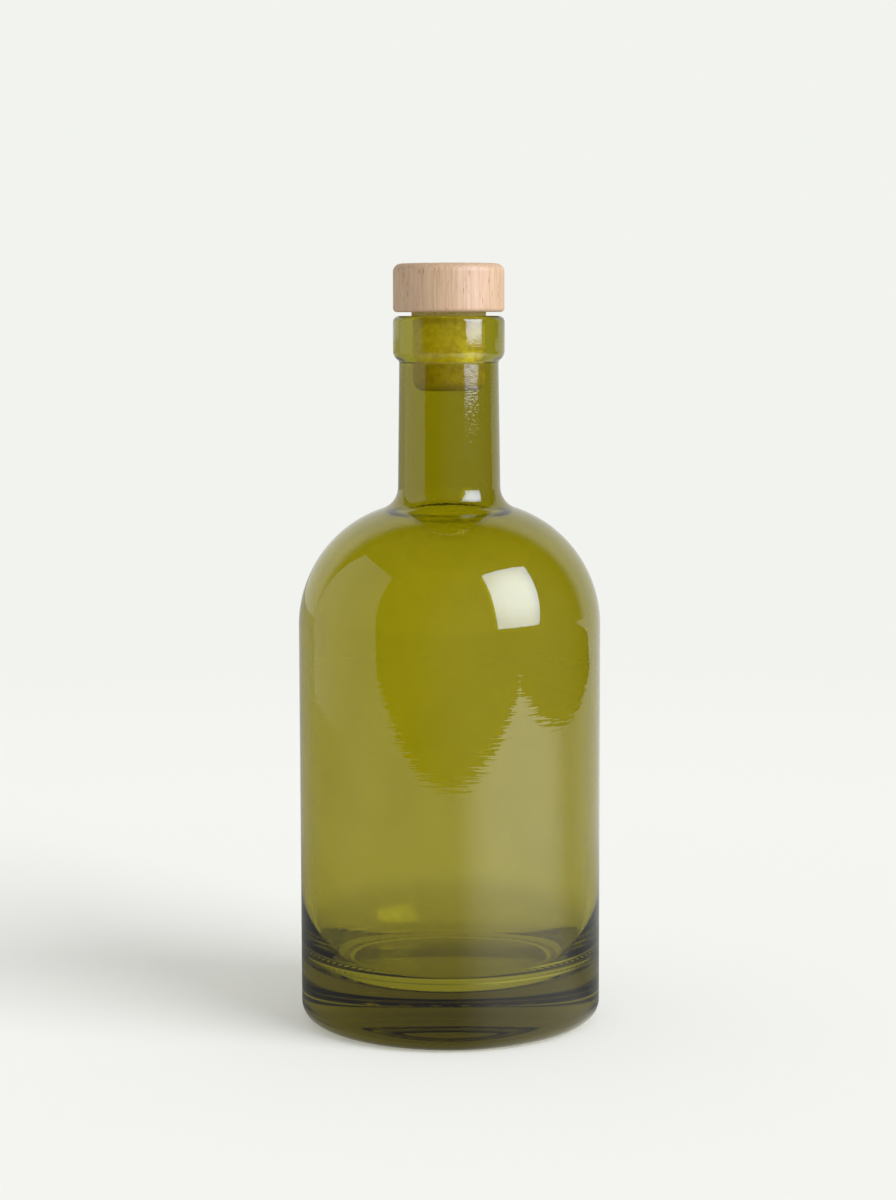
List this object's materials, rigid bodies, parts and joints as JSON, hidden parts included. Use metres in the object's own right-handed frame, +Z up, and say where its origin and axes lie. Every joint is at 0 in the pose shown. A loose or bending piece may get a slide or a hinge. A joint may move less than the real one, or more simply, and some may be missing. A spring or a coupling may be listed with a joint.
{
  "type": "glass bottle",
  "caption": "Round green glass bottle with straight sides, domed shoulder, slim neck and thick base, closed by a wooden bar-top stopper on a cork shank.",
  "frame": {"origin": "centre of the base, on the plane that the bottle stands on", "axes": "+Z up along the bottle's axis; X and Y are free because the bottle is round"},
  "size_m": [0.081, 0.081, 0.2036],
  "materials": {
    "green_glass": "smooth olive-green glass",
    "cork": "pressed cork granules, matt",
    "beech": "fine-sanded beech, matt"
  },
  "bodies": {
    "root": {"bottle": "green_glass", "stopper_shank": "cork", "stopper_head": "beech"}
  },
  "joints": []
}
